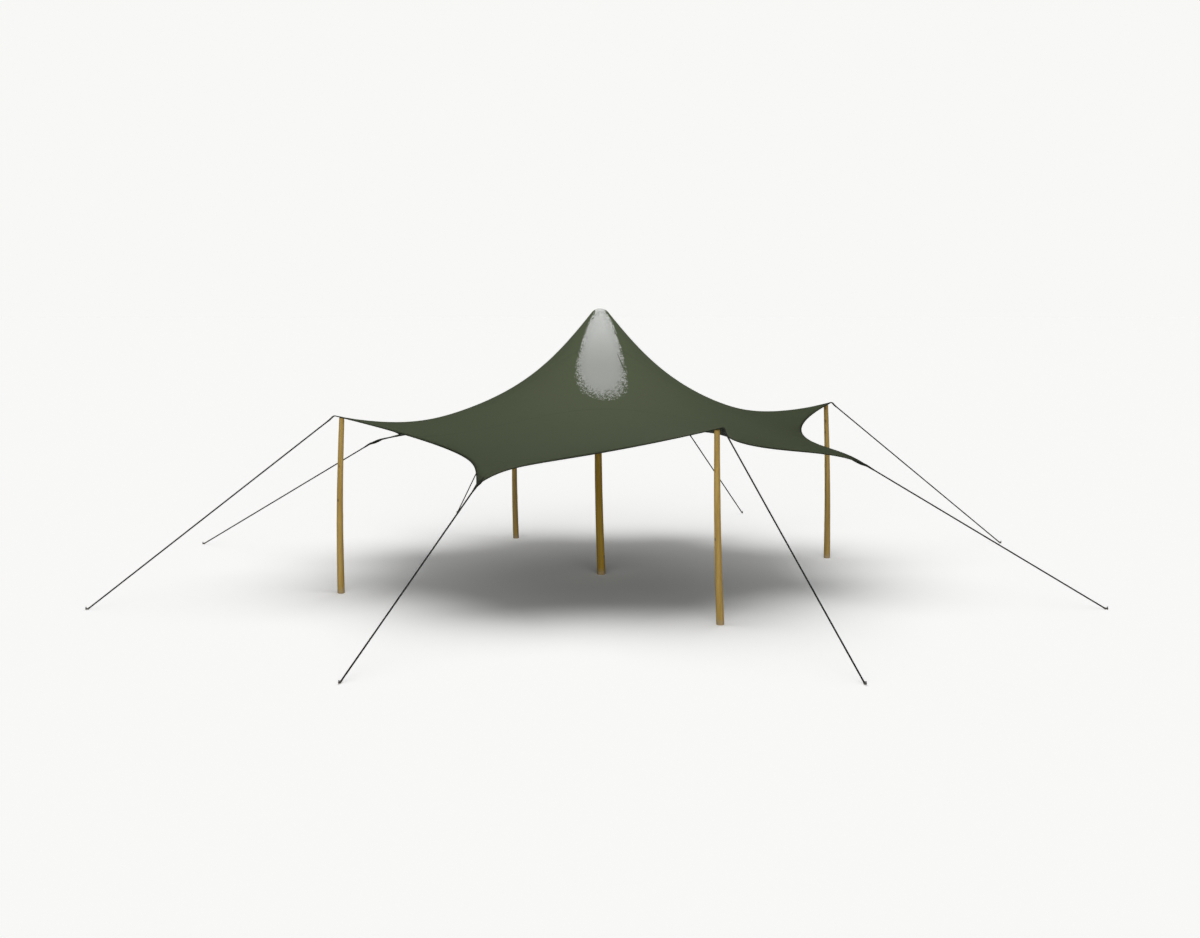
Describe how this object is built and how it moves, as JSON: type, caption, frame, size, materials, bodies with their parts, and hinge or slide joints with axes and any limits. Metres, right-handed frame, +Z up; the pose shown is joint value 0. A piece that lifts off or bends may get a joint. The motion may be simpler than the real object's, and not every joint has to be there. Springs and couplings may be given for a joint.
{
  "type": "stretch tent",
  "caption": "Free-standing stretch tent: a scalloped fabric canopy on one tall centre pole and four side poles, held taut by guy ropes to ground pegs.",
  "frame": {"origin": "centre of the centre pole's foot, on the ground", "axes": "+Z up, -Y towards the front that the picture shows, +X to the right of that view"},
  "size_m": [13.7304, 13.6158, 3.9966],
  "materials": {
    "canopy_cloth": "matt dark olive stretch cloth, with a pale worn patch at the front of the peak",
    "hem_cord": "dark sewn edge cord",
    "tab_webbing": "dark woven webbing",
    "pole_timber": "honey-brown natural pole with light grain and knots",
    "head_timber": "turned wood, oiled",
    "guy_rope": "dark grey laid rope",
    "peg_steel": "dull galvanised steel"
  },
  "bodies": {
    "root": {"canopy": "canopy_cloth", "centre_pole": "pole_timber", "centre_pole_head": "head_timber", "side_pole_right": "pole_timber", "side_pole_back": "pole_timber", "side_pole_left": "pole_timber", "side_pole_front": "pole_timber", "hem_right": "hem_cord", "hem_back_right": "hem_cord", "hem_back": "hem_cord", "hem_back_left": "hem_cord", "hem_left": "hem_cord", "hem_front_left": "hem_cord", "hem_front": "hem_cord", "hem_front_right": "hem_cord", "tip_tab_right": "tab_webbing", "tip_tab_back_right": "tab_webbing", "tip_tab_back": "tab_webbing", "tip_tab_back_left": "tab_webbing", "tip_tab_left": "tab_webbing", "tip_tab_front_left": "tab_webbing", "tip_tab_front": "tab_webbing", "tip_tab_front_right": "tab_webbing", "guy_rope_right": "guy_rope", "guy_rope_back_right": "guy_rope", "guy_rope_back": "guy_rope", "guy_rope_back_left": "guy_rope", "guy_rope_left": "guy_rope", "guy_rope_front_left": "guy_rope", "guy_rope_front": "guy_rope", "guy_rope_front_right": "guy_rope", "ground_peg_right": "peg_steel", "ground_peg_back_right": "peg_steel", "ground_peg_back": "peg_steel", "ground_peg_back_left": "peg_steel", "ground_peg_left": "peg_steel", "ground_peg_front_left": "peg_steel", "ground_peg_front": "peg_steel", "ground_peg_front_right": "peg_steel"}
  },
  "joints": []
}
